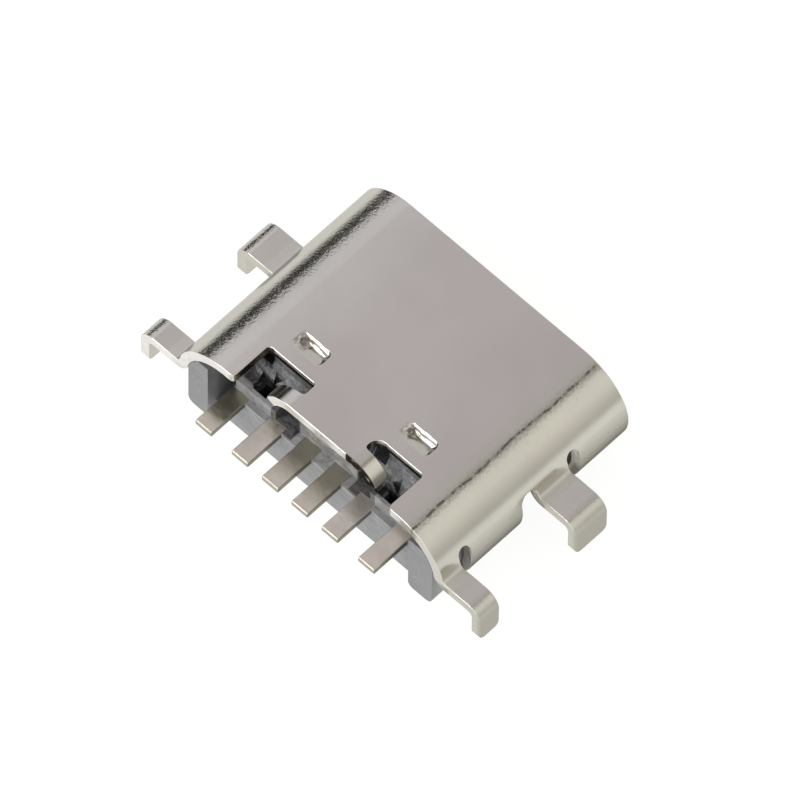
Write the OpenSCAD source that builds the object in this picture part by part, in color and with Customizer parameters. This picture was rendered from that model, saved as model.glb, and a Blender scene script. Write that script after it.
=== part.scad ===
// USB-C receptacle, six contacts, sunk-board style with four through-board legs.
// Frame: origin at the centre of the plug mouth on the shell's front face,
// mouth faces -Y, tails leave toward +Y, +Z is the side with the two notches.
// All sizes in millimetres.

/* [Shell] */
// outside width of the shell
shell_w = 8.94; // [8.7:0.02:9.2]
// outside height of the shell
shell_h = 3.16; // [3.0:0.02:3.4]
// thickness of the folded sheet
sheet_t = 0.3; // [0.2:0.01:0.35]
// length of the shell, mouth to rear edge
shell_l = 6.5; // [6.2:0.05:8.0]
// where the bottom sheet stops
bottom_l = 6.0; // [5.6:0.05:6.05]

/* [Rear notches and centre tab] */
// inner side of each notch, from the middle
notch_in = 1.04; // [0.8:0.02:1.2]
// outer side of each notch, from the middle
notch_out = 2.6; // [2.3:0.02:2.8]
// front edge of each notch
notch_y = 5.25; // [5.1:0.05:5.5]
// fillet at the inner front corner, left notch
fillet_left = 0.08; // [0.04:0.02:0.3]
// fillet at the inner front corner, right notch
fillet_right = 0.28; // [0.04:0.02:0.3]
// front edge of the curled wings
wing_y = 5.66; // [5.5:0.02:5.8]
// rear edge of the centre tab
tab_y = 6.14; // [6.0:0.02:6.2]
// outside radius of the curl in each wing
wing_r = 0.9; // [0.7:0.05:1.1]
// how far each wing turns down, degrees
wing_a = 58; // [40:1:65]

/* [Stake marks] */
// distance of each stake from the middle
stake_x = 1.81; // [1.6:0.01:2.0]
// how far back each stake is
stake_y = 4.6; // [4.5:0.05:4.8]
// stake length across the shell
stake_w = 1.0; // [0.8:0.05:1.2]
// stake width front to back
stake_l = 0.54; // [0.4:0.02:0.6]
// how deep each stake is pressed
stake_d = 0.16; // [0.08:0.02:0.22]

/* [Legs] */
// front edge of the front legs
leg_f = 2.07; // [1.9:0.01:2.4]
// width of the front legs
leg_fw = 1.08; // [0.8:0.01:1.3]
// width of the rear legs, flush with the rear edge
leg_rw = 0.67; // [0.5:0.01:0.8]
// outside face of the legs, from the middle
leg_x = 5.75; // [5.6:0.05:6.0]
// top face of each leg shoulder
leg_z = 0.16; // [0.05:0.01:0.25]
// lowest point of each leg
leg_tip = -1.06; // [-1.4:0.02:-0.8]
// outside radius of the downward bend
leg_r = 0.45; // [0.35:0.05:0.6]
// relief slot beside each leg
relief = 0.36; // [0.25:0.01:0.45]

/* [Tongue] */
// width of the contact tongue
tongue_w = 6.69; // [6.6:0.01:6.75]
// thickness of the contact tongue
tongue_t = 0.7; // [0.65:0.01:0.75]
// where the tongue starts behind the mouth
tongue_y = 0.8; // [0.6:0.05:1.4]
// front face of the rear housing
base_y = 4.2; // [4.0:0.05:4.3]

/* [Terminals] */
// strip thickness
pin_t = 0.2; // [0.15:0.01:0.2]
// width of the solder tails
tail_w = 0.536; // [0.4:0.002:0.6]
// top face of the solder tails
tail_z = 0.11; // [0.05:0.01:0.15]
// how far back the tails reach
tail_y = 7.39; // [7.0:0.01:7.8]
// side position of the ground tails
tail_g = 2.75; // [2.7:0.01:2.76]
// side position of the power tails
tail_p = 1.52; // [1.45:0.01:1.6]
// side position of the configuration tails
tail_c = 0.5; // [0.45:0.01:0.55]

/* [Hidden] */
R = shell_h / 2;
Ri = R - sheet_t;
cx = shell_w / 2 - R;
joint_z = leg_z + 0.12;
joint_x = cx + sqrt(R * R - joint_z * joint_z);
leg_rear = shell_l - leg_rw;
wall_y = 6.22;
lip_y = 6.05;
lip_z = 0.55;
foot_x = 4.12;
slot_w = 0.53;
blade_z = tongue_t / 2 + 0.02;
e = 0.02;
$fn = 64;

// lays a flat XZ outline along Y, from y0 to y1
module along(y0, y1) {
    translate([0, y1, 0]) rotate([90, 0, 0]) linear_extrude(y1 - y0) children();
}
// lays a flat YZ outline along X, from x0 to x1
module across(x0, x1) {
    translate([x0, 0, 0]) rotate([90, 0, 90]) linear_extrude(x1 - x0) children();
}
module span(x0, x1, y0, y1, z0, z1) {
    translate([x0, y0, z0]) cube([x1 - x0, y1 - y0, z1 - z0]);
}
module both() {
    children();
    mirror([1, 0, 0]) children();
}
// full-radius slot outline, half straight length cx
module stadium(r) {
    union() {
        translate([-cx, -r]) square([2 * cx, 2 * r]);
        translate([cx, 0]) circle(r = r);
        translate([-cx, 0]) circle(r = r);
    }
}
// rectangle with its corners rounded, x0..x1 by y0..y1
module rounded(x0, x1, y0, y1, r) {
    union() {
        translate([x0 + r, y0]) square([x1 - x0 - 2 * r, y1 - y0]);
        translate([x0, y0 + r]) square([x1 - x0, y1 - y0 - 2 * r]);
        for (p = [[x0 + r, y0 + r], [x1 - r, y0 + r], [x0 + r, y1 - r], [x1 - r, y1 - r]])
            translate(p) circle(r = r);
    }
}

// ---- folded shell ----
// one rear notch, seen from above
module notch(f) {
    difference() {
        translate([notch_in, notch_y]) square([notch_out - notch_in, 3]);
        // fillet at the inner front corner
        difference() {
            translate([notch_in - 1, notch_y - 1]) square([1 + f, 1 + f]);
            translate([notch_in + f, notch_y + f]) circle(r = f);
        }
        // small radius at the outer front corner
        difference() {
            translate([notch_out - 0.1, notch_y - 1]) square([1, 1.1]);
            translate([notch_out - 0.1, notch_y + 0.1]) circle(r = 0.1);
        }
    }
    // rounded rear corner of the top plate
    difference() {
        translate([notch_out - 0.1, shell_l - 0.14]) square([0.24, 1]);
        translate([notch_out + 0.14, shell_l - 0.14]) circle(r = 0.14);
        translate([notch_out + 0.14, shell_l - 2]) square([1, 4]);
    }
}
// a sheet folded through a quarter turn in the first quadrant,
// with straight runs s1 toward -X and s2 toward -Y
module bend(ro, t, s1, s2) {
    difference() {
        translate([-s1, -s2]) square([ro + s1, ro + s2]);
        difference() { square([2 * ro, 2 * ro]); circle(r = ro); }
        difference() {
            translate([-s1 - 1, -s2 - 1]) square([ro - t + s1 + 1, ro - t + s2 + 1]);
            difference() { square([2 * ro, 2 * ro]); circle(r = ro - t); }
        }
    }
}
module leg(y0, y1) {
    rr = 0.12;
    bx = leg_x - leg_r;
    bz = leg_z - leg_r;
    // root bend, folded outward from the side wall
    along(y0, y1) translate([joint_x + rr, joint_z]) rotate(180) bend(rr + sheet_t, sheet_t, 0.3, 0);
    // shoulder and downward bend, with the corners of the end rounded off
    intersection() {
        along(y0, y1) translate([bx, bz]) bend(leg_r, sheet_t, bx - joint_x - rr - 0.1, bz - leg_tip);
        across(0, 7) union() {
            translate([y0, leg_tip + 0.18]) square([y1 - y0, 3]);
            translate([y0 + 0.18, leg_tip]) square([y1 - y0 - 0.36, 0.3]);
            translate([y0 + 0.18, leg_tip + 0.18]) circle(r = 0.18);
            translate([y1 - 0.18, leg_tip + 0.18]) circle(r = 0.18);
        }
    }
}
module wing() {
    bx = notch_in;
    bz = R - wing_r;
    intersection() {
        union() {
            translate([0, tab_y, 0]) rotate([90, 0, 0]) linear_extrude(tab_y - wing_y)
                translate([bx, bz]) intersection() {
                    difference() { circle(r = wing_r); circle(r = wing_r - sheet_t); }
                    polygon([[0, 0], [0, 3], [3 * sin(wing_a), 3], [3 * sin(wing_a), 3 * cos(wing_a)]]);
                }
            translate([bx, 0, bz]) rotate([0, wing_a, 0]) span(-e, 0.1, wing_y, tab_y, wing_r - sheet_t, wing_r);
        }
        translate([0, 0, 0]) linear_extrude(3) union() {
            translate([bx - 1, wing_y]) square([wing_r + 0.7, 0.6]);
            translate([bx - 1, wing_y + 0.14]) square([wing_r + 0.9, 0.6]);
        }
    }
}
module shell() color([0.72, 0.71, 0.69]) {
    difference() {
        union() {
            difference() {
                along(0, shell_l) difference() { stadium(R); stadium(Ri); }
                // notches and everything behind the centre tab
                translate([0, 0, Ri - 0.4]) linear_extrude(1) notch(fillet_left);
                mirror([1, 0, 0]) translate([0, 0, Ri - 0.4]) linear_extrude(1) notch(fillet_right);
                span(-notch_in - e, notch_in + e, tab_y, shell_l + 1, Ri - 0.4, R + 1);
                // bottom sheet stops short
                span(-3.2, 3.2, bottom_l, shell_l + 1, -R - 1, -0.6);
                both() {
                    // windows the legs were cut from
                    span(2.7, 6, leg_f - relief - 0.05, leg_f + leg_fw + slot_w, -R - 1, joint_z);
                    span(2.7, 6, leg_rear - relief - 0.05, shell_l + 1, -R - 1, joint_z);
                    // relief holes beside the legs
                    for (y = [leg_f, leg_rear]) {
                        span(3.4, 6, y - relief, y, -0.2, 0.5);
                        across(3.4, 6) translate([y - relief / 2, 0.48]) circle(r = relief / 2);
                    }
                    across(3.4, 6) translate([leg_f + leg_fw + slot_w / 2, 0.3]) circle(r = slot_w / 2);
                }
                // stakes, top side
                both() translate([0, 0, R - stake_d]) linear_extrude(1)
                    rounded(stake_x - stake_w / 2, stake_x + stake_w / 2, stake_y - stake_l / 2, stake_y + stake_l / 2, 0.14);
                // seam in the bottom sheet with its dovetail
                translate([0, 0, -R - 0.5]) linear_extrude(1) union() {
                    translate([-0.02, -1]) square([0.04, 3.9]);
                    translate([-0.02, 4.1]) square([0.04, 3]);
                    difference() {
                        polygon([[-0.02, 2.88], [0.04, 2.88], [1.06, 2.68], [1.06, 4.32], [0.04, 4.12], [-0.02, 4.12]]);
                        polygon([[-0.03, 2.92], [0.04, 2.92], [1.02, 2.73], [1.02, 4.27], [0.04, 4.08], [-0.03, 4.08]]);
                    }
                }
            }
            both() {
                leg(leg_f, leg_f + leg_fw);
                leg(leg_rear, shell_l);
                wing();
                // stakes, underside
                translate([0, 0, Ri - stake_d]) linear_extrude(stake_d + 0.04)
                    rounded(stake_x - stake_w / 2 + 0.06, stake_x + stake_w / 2 - 0.06, stake_y - stake_l / 2 + 0.06, stake_y + stake_l / 2 - 0.06, 0.1);
            }
        }
    }
}

// ---- insulators ----
module tongue_outline() {
    h = tongue_t / 2;
    // slab seen from the side, with a rounded-off nose
    across(-tongue_w / 2, tongue_w / 2)
        polygon([[tongue_y, -h + 0.13], [tongue_y, h - 0.13], [tongue_y + 0.3, h],
                 [base_y - 0.5, h], [base_y - 0.5, -h], [tongue_y + 0.3, -h]]);
}
module tongue_root() {
    span(-3.5, 3.5, base_y - e, 5.4, -0.5, 0.5);
}
module plate_body(g) {
    linear_extrude(0.12 + 2 * g) polygon([
        [-2.95, 1.1], [2.95, 1.1], [3.37, 1.45], [3.37, 1.95], [3.05, 2.1], [3.05, 2.65], [3.37, 2.8],
        [3.37, 4.4], [-3.37, 4.4], [-3.37, 2.8], [-3.05, 2.65], [-3.05, 2.1], [-3.37, 1.95], [-3.37, 1.45]]);
}
module tongue() color([0.16, 0.17, 0.18]) {
    difference() {
        union() {
            tongue_outline();
            span(-3.7, 3.7, base_y - 0.55, base_y, -0.62, 0.62);
            tongue_root();
        }
        // latch notches in both flanks
        both() linear_extrude(2, center = true)
            polygon([[3.05, 2.1], [3.5, 1.9], [3.5, 2.85], [3.05, 2.65]]);
        translate([0, 0, -0.06]) plate_body(0);
        pins();
    }
}
module mid_plate() color([0.7, 0.7, 0.7]) translate([0, 0, -0.06]) plate_body(0);

module housing() color([0.35, 0.36, 0.38]) {
    difference() {
        union() {
            along(base_y, wall_y) stadium(Ri);
            // square feet standing in the leg windows
            both() along(leg_rear - 0.3, wall_y) foot_outline(1.5);
            along(wall_y - 0.1, shell_l) post_outline(3.46);
            mirror([1, 0, 0]) along(wall_y - 0.1, shell_l) post_outline(3.32);
        }
        // clear of the root bends of the rear legs
        both() span(4.13, 6, 5.4, 7, -2, 0.4);
        // top of the rear wall steps down behind the notches, further in behind the middle tails
        span(-3.32, 3.46, lip_y, 7, 0.1, 2);
        span(-1.03, 1.03, 5.85, 7, 0.1, 2);
        span(3.3, 3.46, 5.86, 7, lip_z, 2);
        both() {
            span(1.0, 3.3, 5.86, 7, lip_z, 2);
            // sloped floor inside each notch
            across(1.0, 2.86) polygon([[5.22, 1.02], [5.22, 2], [6.6, 2], [6.6, lip_z], [5.86, lip_z], [5.86, 0.35], [5.62, 0.35]]);
            // opening under each curled side of the centre tab
            span(1.02, 1.6, 5.5, 6.3, 0.2, 2);
        }
        // deep pocket behind the left slope, wider at its top, with a small one in front
        span(2.03, 2.42, 5.5, 5.95, -1.1, 0.6);
        translate([0, 0, 0.25]) linear_extrude(2) polygon([[2.03, 5.95], [2.08, 5.66], [2.28, 5.47], [2.6, 5.43], [2.56, 5.84], [2.45, 5.95]]);
        translate([0, 0, 0.3]) linear_extrude(2) polygon([[1.93, 5.33], [2.26, 5.33], [2.2, 5.53]]);
        // the same behind the right slope, nearer the middle
        span(-2.2, -1.83, 5.58, 5.95, -1.1, 0.6);
        translate([0, 0, 0.25]) linear_extrude(2) polygon([[-1.64, 5.95], [-1.66, 5.58], [-2.1, 5.66], [-2.24, 5.95]]);
        translate([0, 0, 0.3]) linear_extrude(2) polygon([[-1.8, 5.48], [-2.02, 5.35], [-2.09, 5.6]]);
        // undercut corners on the left of each notch
        span(2.44, 2.86, 4.92, 5.3, 0.7, 1.4);
        span(-1.44, -1.03, 4.92, 5.36, 0.7, 1.4);
        // recess beside the left ground tail
        span(3.0, 3.46, 5.48, 7, -0.85, 1.4);
        span(2.94, 3.02, 5.9, 7, 0.12, 1.4);
        tongue_root();
        // pockets the stakes bite into
        both() translate([0, 0, Ri - stake_d]) linear_extrude(1)
            rounded(stake_x - stake_w / 2 + 0.06, stake_x + stake_w / 2 - 0.06, stake_y - stake_l / 2 + 0.06, stake_y + stake_l / 2 - 0.06, 0.1);
        pins();
    }
}
// squared lower corner of the housing, from x0 out to foot_x
module foot_outline(x0) {
    difference() {
        union() {
            translate([x0, -Ri]) square([foot_x - x0 - 0.22, Ri + 0.9]);
            translate([x0, -Ri + 0.22]) square([foot_x - x0, Ri + 0.5]);
            translate([foot_x - 0.22, -Ri + 0.22]) circle(r = 0.22);
        }
        translate([x0 - 1, 0]) difference() {
            square([6, 3]);
            translate([cx - x0 + 1, 0]) circle(r = Ri);
            square([cx - x0 + 1, Ri]);
        }
    }
}

// the foot carried on behind the shell, its inner lower corner rounded
module post_outline(x0) {
    difference() {
        foot_outline(x0);
        difference() {
            translate([x0 - 1, -Ri - 1]) square([1.18, 1.18]);
            translate([x0 + 0.18, -Ri + 0.18]) circle(r = 0.18);
        }
    }
}

// ---- terminals ----
// up = 1 for a contact on the top of the tongue, -1 for one underneath
module pin(xt, xc, cw, up) {
    tz = tail_z;
    bz = tail_z - pin_t;
    c1 = blade_z;
    c0 = blade_z - pin_t;
    intersection() {
        if (up > 0) across(-5, 5) polygon([
            [1.25, c0], [4.52, c0], [4.86, bz], [tail_y - 0.03, bz], [tail_y, bz + 0.04],
            [tail_y, tz - 0.05], [tail_y - 0.05, tz], [4.98, tz], [4.64, c1], [1.4, c1], [1.25, c1 - 0.08]]);
        else across(-5, 5) polygon([
            [1.25, -c0], [4.52, -c0], [4.86, tz], [tail_y - 0.05, tz], [tail_y, tz - 0.05],
            [tail_y, bz + 0.04], [tail_y - 0.03, bz], [4.98, bz], [4.64, -c1], [1.4, -c1], [1.25, -c1 + 0.08]]);
        linear_extrude(4, center = true) polygon([
            [xc - cw / 2, 1], [xc + cw / 2, 1], [xc + cw / 2, 4.0], [xt + tail_w / 2, 4.45],
            [xt + tail_w / 2, 8], [xt - tail_w / 2, 8], [xt - tail_w / 2, 4.45], [xc - cw / 2, 4.0]]);
    }
}
module pin_ground_left() color([0.78, 0.74, 0.66]) pin(tail_g, 2.75, 0.4, 1);
module pin_power_left() color([0.78, 0.74, 0.66]) pin(tail_p, 1.25, 0.4, 1);
module pin_config_left() color([0.78, 0.74, 0.66]) pin(tail_c, 0.75, 0.25, -1);
module pin_config_right() color([0.78, 0.74, 0.66]) pin(-tail_c, -0.75, 0.25, 1);
module pin_power_right() color([0.78, 0.74, 0.66]) pin(-tail_p, -1.25, 0.4, -1);
module pin_ground_right() color([0.78, 0.74, 0.66]) pin(-tail_g, -2.75, 0.4, -1);
module pins() {
    pin_ground_left();
    pin_power_left();
    pin_config_left();
    pin_config_right();
    pin_power_right();
    pin_ground_right();
}

shell();
housing();
tongue();
mid_plate();
pin_ground_left();
pin_power_left();
pin_config_left();
pin_config_right();
pin_power_right();
pin_ground_right();
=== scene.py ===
import math
import bpy
import numpy as np
from mathutils import Vector, Matrix, noise
from mathutils.geometry import delaunay_2d_cdt


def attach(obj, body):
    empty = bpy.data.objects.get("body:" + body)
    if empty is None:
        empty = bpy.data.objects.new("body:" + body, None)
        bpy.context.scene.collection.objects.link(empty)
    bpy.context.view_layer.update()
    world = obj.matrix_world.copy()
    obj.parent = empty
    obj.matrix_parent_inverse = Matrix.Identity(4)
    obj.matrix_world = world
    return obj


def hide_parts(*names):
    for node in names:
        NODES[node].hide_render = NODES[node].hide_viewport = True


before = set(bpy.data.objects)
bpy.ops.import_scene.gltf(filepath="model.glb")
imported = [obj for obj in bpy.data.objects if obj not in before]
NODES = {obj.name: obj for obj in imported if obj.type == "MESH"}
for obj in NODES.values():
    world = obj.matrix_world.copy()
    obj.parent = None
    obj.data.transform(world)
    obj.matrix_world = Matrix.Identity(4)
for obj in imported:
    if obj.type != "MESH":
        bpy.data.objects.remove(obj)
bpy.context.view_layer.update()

MM = 0.001
scene = bpy.context.scene

# ---------------------------------------------------------------- camera
# solved from the photograph, 600 mm away
CAM_R = Matrix(((-0.717363, -0.696659, 0.007583),
                (-0.603454, 0.615875, -0.506499),
                (0.348187, -0.36792, -0.862207)))      # rows: right, down, forward
cam_data = bpy.data.cameras.new("camera")
cam = bpy.data.objects.new("camera", cam_data)
scene.collection.objects.link(cam)
scene.camera = cam
cam_data.sensor_width = 36.0
cam_data.lens = 1110.71
cam_data.clip_start = 0.05
cam_data.clip_end = 3.0
right, down, fwd = CAM_R[0], CAM_R[1], CAM_R[2]
m = Matrix(((right[0], -down[0], -fwd[0]), (right[1], -down[1], -fwd[1]), (right[2], -down[2], -fwd[2])))
cam.matrix_world = Matrix.Translation(Vector((-208.551, 223.734, 516.197)) * MM) @ m.to_4x4()

# ---------------------------------------------------------------- sizes (mm), as in the CAD
R, T, L = 1.58, 0.3, 6.5
CX = 2.89
RM = R - T / 2
SMAX = 2 * CX + math.pi * RM
LEG_Z, LEG_X, LEG_R, LEG_TIP = 0.16, 5.75, 0.45, -1.06
LEG_F, LEG_FW, LEG_RW = 2.07, 1.08, 0.67
RELIEF, SLOT_W = 0.36, 0.53
LEG_REAR = L - LEG_RW
ROOT_R = 0.12
PHI_J = math.acos((LEG_Z + ROOT_R) / (R + ROOT_R))
S_J = CX + RM * PHI_J
ROOT_M = ROOT_R + T / 2
S_SH = S_J + ROOT_M * PHI_J                       # shoulder starts
X_SH = CX + (R + ROOT_R) * math.sin(PHI_J)
S_BD = S_SH + (LEG_X - LEG_R - X_SH)              # downward bend starts
BEND_M = LEG_R - T / 2
S_VT = S_BD + BEND_M * math.pi / 2                # vertical starts
S_TIP = S_VT + (LEG_Z - LEG_R - LEG_TIP)
S_W = 2 * CX + math.pi * RM - 2.7                 # end of the leg windows
N_IN, N_OUT, N_Y = 1.04, 2.6, 5.25
WING_Y, TAB_Y, WING_R, WING_A = 5.66, 6.14, 0.9, math.radians(58)
WING_M = WING_R - T / 2
BOTTOM_L = 6.0


CROWN = 0.05        # the top plate is a touch domed next to its bends


def smooth(x, a, b):
    t = min(max((x - a) / (b - a), 0.0), 1.0)
    return t * t * (3 - 2 * t)


def frame_at(s, y):
    """Outer surface point (x, z), normal (x, z) and tangent (x, z) of the folded sheet at flat position s, y."""
    sg = 1.0 if s >= 0 else -1.0
    a = abs(s)
    if N_IN < a < 2.3 and y > 5.545:                                   # curled wing
        u = a - N_IN
        th = min(u / WING_M, WING_A)
        px, pz = N_IN + WING_R * math.sin(th), R - WING_R + WING_R * math.cos(th)
        n = (math.sin(th), math.cos(th))
        rest = u - WING_M * WING_A
        if rest > 0:
            px += rest * math.cos(th)
            pz -= rest * math.sin(th)
    elif S_J < a < S_TIP + 0.1 and (LEG_F - 0.02 < y < LEG_F + LEG_FW + 0.02 or y > LEG_REAR - 0.02):   # leg
        if a < S_SH:
            th = PHI_J - (a - S_J) / ROOT_M
            n = (math.sin(th), math.cos(th))
            c = (CX + (R + ROOT_R) * math.sin(PHI_J), (R + ROOT_R) * math.cos(PHI_J))
            px, pz = c[0] - n[0] * ROOT_R, c[1] - n[1] * ROOT_R
        elif a < S_BD:
            px, pz, n = X_SH + a - S_SH, LEG_Z, (0.0, 1.0)
        elif a < S_VT:
            th = (a - S_BD) / BEND_M
            n = (math.sin(th), math.cos(th))
            px, pz = LEG_X - LEG_R + LEG_R * n[0], LEG_Z - LEG_R + LEG_R * n[1]
        else:
            px, pz, n = LEG_X, LEG_Z - LEG_R - (a - S_VT), (1.0, 0.0)
    elif a < CX:
        th = CROWN * smooth(a, 1.5, CX)
        px, pz, n = a, R, (math.sin(th), math.cos(th))
    elif a < CX + math.pi * RM:
        th = (a - CX) / RM
        px, pz = CX + R * math.sin(th), R * math.cos(th)
        th += CROWN * (1 - smooth(th, 0.0, 0.35))
        n = (math.sin(th), math.cos(th))
    else:
        px, pz, n = 2 * CX + math.pi * RM - a, -R, (0.0, -1.0)
    t = (n[1], -n[0])
    return (sg * px, pz), (sg * n[0], n[1]), (sg * t[0] * sg, t[1] * sg)


def arc(cx, cy, r, a0, a1, n):
    return [(cx + r * math.cos(math.radians(a0 + (a1 - a0) * i / n)),
             cy + r * math.sin(math.radians(a0 + (a1 - a0) * i / n))) for i in range(n + 1)]


def phi_s(z):
    return CX + RM * math.acos(z / R)


# ---------------------------------------------------------------- flat pattern of the shell
def half_rear(fillet):
    """Rear boundary of one half, from the seam side to the tab's middle, in (a, y)."""
    s1, r = phi_s(0.48 + RELIEF / 2), RELIEF / 2
    p = [(S_W + 0.12, BOTTOM_L)] + arc(S_W + 0.1, BOTTOM_L - 0.1, 0.1, 90, 180, 5)
    p += arc(S_W - 0.1, LEG_REAR - RELIEF + 0.1, 0.1, 0, -90, 5)
    p += arc(s1 + r, LEG_REAR - r, r, 270, 90, 16)
    p += arc(S_TIP - 0.18, LEG_REAR + 0.18, 0.18, 270, 360, 7)
    p += arc(S_TIP - 0.18, L - 0.18, 0.18, 0, 90, 7)
    p += arc(N_OUT + 0.14, L - 0.14, 0.14, 90, 180, 7)
    p += arc(N_OUT - 0.1, N_Y + 0.1, 0.1, 0, -90, 6)
    p += arc(N_IN + fillet, N_Y + fillet, fillet, 270, 180, 10)
    p += arc(N_IN + 0.09, WING_Y - 0.09, 0.09, 180, 90, 5)
    w = N_IN + WING_M * WING_A + 0.1
    p += arc(w - 0.17, WING_Y + 0.17, 0.17, 270, 360, 7)
    p += arc(w - 0.09, TAB_Y - 0.09, 0.09, 0, 90, 5)
    return p


def leg_window():
    r, q = RELIEF / 2, SLOT_W / 2
    s1, s2 = phi_s(0.48 + r), phi_s(0.3 + q)
    y0, y1, y2, y3 = LEG_F - RELIEF, LEG_F, LEG_F + LEG_FW, LEG_F + LEG_FW + SLOT_W
    p = arc(s1 + r, y0 + r, r, 270, 90, 16)
    p += arc(S_TIP - 0.18, y1 + 0.18, 0.18, 270, 360, 7)
    p += arc(S_TIP - 0.18, y2 - 0.18, 0.18, 0, 90, 7)
    p += arc(s2 + q, y2 + q, q, 270, 90, 18)
    p += arc(S_W - 0.1, y3 - 0.1, 0.1, 90, 0, 5)
    p += arc(S_W - 0.1, y0 + 0.1, 0.1, 0, -90, 5)
    return p


def clean(loop):
    out = []
    for q in loop:
        if not out or math.dist(q, out[-1]) > 1e-4:
            out.append(q)
    if math.dist(out[0], out[-1]) < 1e-4:
        out.pop()
    return out


def area2(loop):
    return sum(loop[i - 1][0] * loop[i][1] - loop[i][0] * loop[i - 1][1] for i in range(len(loop)))


def densify(loop, step):
    out = []
    n = len(loop)
    for i in range(n):
        a, b = loop[i], loop[(i + 1) % n]
        k = max(1, int(math.ceil(math.dist(a, b) / step)))
        out += [(a[0] + (b[0] - a[0]) * j / k, a[1] + (b[1] - a[1]) * j / k) for j in range(k)]
    return out


g = 0.012
left = half_rear(0.08)
rightp = half_rear(0.28)
outer = [(-(SMAX - g), 0.0), (SMAX - g, 0.0), (SMAX - g, 2.9 - g), (SMAX - 1.04 - g, 2.7 - g), (SMAX - 1.04 - g, 4.3 + g),
         (SMAX - g, 4.1 + g), (SMAX - g, BOTTOM_L)]
outer += left
outer += [(-a, y) for a, y in reversed(rightp)]
outer += [(-(SMAX - g), BOTTOM_L), (-(SMAX - g), 4.1 - g), (-(SMAX + 1.04 - g), 4.3 - g), (-(SMAX + 1.04 - g), 2.7 + g),
          (-(SMAX - g), 2.9 + g)]
outer = clean(outer)
win = clean(leg_window())
loops = [outer, win, clean([(-a, y) for a, y in win])]
# the outer loop runs anticlockwise, holes clockwise: the metal is on the left
loops = [l if (area2(l) > 0) == (i == 0) else l[::-1] for i, l in enumerate(loops)]
loops = [densify(l, 0.35) for l in loops]

# lines along which the curved parts are cut into strips
lines = set()
for i in range(75):
    lines.add(round(CX + math.pi * RM * i / 74, 5))
for i in range(1, 14):
    lines.add(round(S_J + (S_SH - S_J) * i / 14, 5))
for i in range(0, 17):
    lines.add(round(S_BD + (S_VT - S_BD) * i / 16, 5))
wing_lines = {round(N_IN + WING_M * WING_A * i / 20, 5) for i in range(0, 21)} - lines
lines = sorted([-v for v in lines | wing_lines] + list(lines | wing_lines))


def on_sheet(v, y):
    """The strips of the curled wings exist only behind the notches."""
    return abs(v) not in wing_lines or y > 5.3


def loop_normals(loop):
    """Unit vector out of the metal at each vertex, and the miter scale."""
    n = len(loop)
    res = []
    for i in range(n):
        a, b, c = loop[i - 1], loop[i], loop[(i + 1) % n]
        d1 = ((b[0] - a[0]), (b[1] - a[1]))
        d2 = ((c[0] - b[0]), (c[1] - b[1]))
        l1, l2 = math.hypot(*d1), math.hypot(*d2)
        n1 = (d1[1] / l1, -d1[0] / l1)
        n2 = (d2[1] / l2, -d2[0] / l2)
        mx, my = n1[0] + n2[0], n1[1] + n2[1]
        ln = math.hypot(mx, my) or 1.0
        mx, my = mx / ln, my / ln
        k = max(0.5, mx * n1[0] + my * n1[1])
        res.append((mx, my, 1.0 / k))
    return res


def edge_radius(s, y):
    """Rounding of the sheet's cut edges: the mouth is coined a little more."""
    return 0.034 if y < 0.2 else 0.038


def split_lines(loop, nrm):
    """Adds points where the inset loop crosses a strip line, so that strips end on shared vertices."""
    out, outn = [], []
    n = len(loop)
    for i in range(n):
        a, b = loop[i], loop[(i + 1) % n]
        na, nb = nrm[i], nrm[(i + 1) % n]
        r = edge_radius(*a)
        ia = (a[0] - na[0] * na[2] * r, a[1] - na[1] * na[2] * r)
        rb = edge_radius(*b)
        ib = (b[0] - nb[0] * nb[2] * rb, b[1] - nb[1] * nb[2] * rb)
        ts = [0.0]
        if abs(ib[0] - ia[0]) > 1e-9:
            for v in lines:
                t = (v - ia[0]) / (ib[0] - ia[0])
                if 0.02 < t < 0.98 and on_sheet(v, a[1]):
                    ts.append(t)
        ts.sort()
        for t in ts:
            out.append((a[0] + (b[0] - a[0]) * t, a[1] + (b[1] - a[1]) * t))
            outn.append(tuple(na[k] + (nb[k] - na[k]) * t for k in range(3)))
    return out, outn


rings = []
for l in loops:
    rings.append(split_lines(l, loop_normals(l)))


def inset(loop, nrm, k):
    return [(p[0] - q[0] * q[2] * edge_radius(*p) * k, p[1] - q[1] * q[2] * edge_radius(*p) * k) for p, q in zip(loop, nrm)]


inner_loops = [inset(l, n, 1.0) for l, n in rings]


def inside(p, polys):
    c = False
    for poly in polys:
        n = len(poly)
        for i in range(n):
            a, b = poly[i - 1], poly[i]
            if (a[1] > p[1]) != (b[1] > p[1]) and p[0] < (b[0] - a[0]) * (p[1] - a[1]) / (b[1] - a[1]) + a[0]:
                c = not c
    return c


# ---------------------------------------------------------------- stake marks
STX, STY, STW, STL, STD = 1.81, 4.6, 1.0, 0.54, 0.16


def rbox(dx, dy, hx, hy, r):
    qx, qy = abs(dx) - hx + r, abs(dy) - hy + r
    return math.hypot(max(qx, 0), max(qy, 0)) + min(max(qx, qy), 0) - r


def pit(u, flat_at):
    """Front wall of a stake in section: a wall, a torn ledge, a second wall."""
    if u < flat_at:
        return u * 0.95
    if u < flat_at + 0.045:
        return flat_at * 0.95 + (u - flat_at) * 0.15
    return flat_at * 0.95 + 0.007 + (u - flat_at - 0.045) * 1.0


def smin(a, b, k):
    h = max(k - abs(a - b), 0.0) / k
    return min(a, b) - h * h * k * 0.25


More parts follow.
